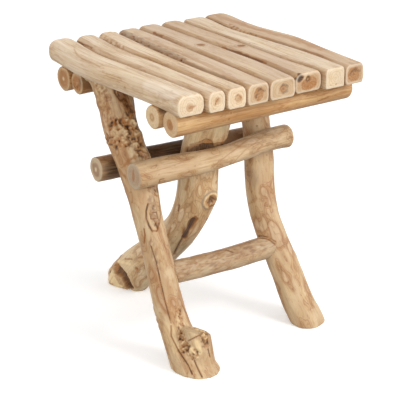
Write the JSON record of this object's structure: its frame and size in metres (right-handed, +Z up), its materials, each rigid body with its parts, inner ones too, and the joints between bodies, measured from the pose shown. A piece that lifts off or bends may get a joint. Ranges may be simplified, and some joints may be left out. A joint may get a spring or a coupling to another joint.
{
  "type": "branch-wood side table",
  "caption": "Rustic side table of debarked teak branches: planed wavy slats on round battens, bent legs crossing like an X, locked by cross bars and a low stretcher.",
  "frame": {"origin": "on the floor, under the middle of the table's bounding box", "axes": "+Z up; +Y along the slats, from the front end of the top to its back; +X along the battens, to the right seen from the front"},
  "size_m": [0.4142, 0.4594, 0.5],
  "materials": {
    "slat_teak": "planed and sanded, unoiled",
    "rail_teak": "debarked and sanded, unoiled",
    "leg_teak": "debarked, knotty, lightly sanded",
    "bar_teak": "debarked and sanded, unoiled",
    "screw_steel": "zinc plated",
    "dowel_wood": "turned, plain"
  },
  "bodies": {
    "root": {"slat_1": "slat_teak", "slat_2": "slat_teak", "slat_3": "slat_teak", "slat_4": "slat_teak", "slat_5": "slat_teak", "slat_6": "slat_teak", "slat_7": "slat_teak", "slat_8": "slat_teak", "front_batten": "rail_teak", "rear_batten": "rail_teak", "front_leg_rail": "rail_teak", "rear_leg_rail": "rail_teak", "front_left_leg": "leg_teak", "front_right_leg": "leg_teak", "rear_leg": "leg_teak", "front_cross_bar": "bar_teak", "rear_cross_bar": "bar_teak", "lower_stretcher": "bar_teak", "slat_screws": "screw_steel", "rail_screws": "screw_steel", "leg_top_dowels": "dowel_wood", "cross_bar_dowels": "dowel_wood", "stretcher_dowels": "dowel_wood"}
  },
  "joints": []
}
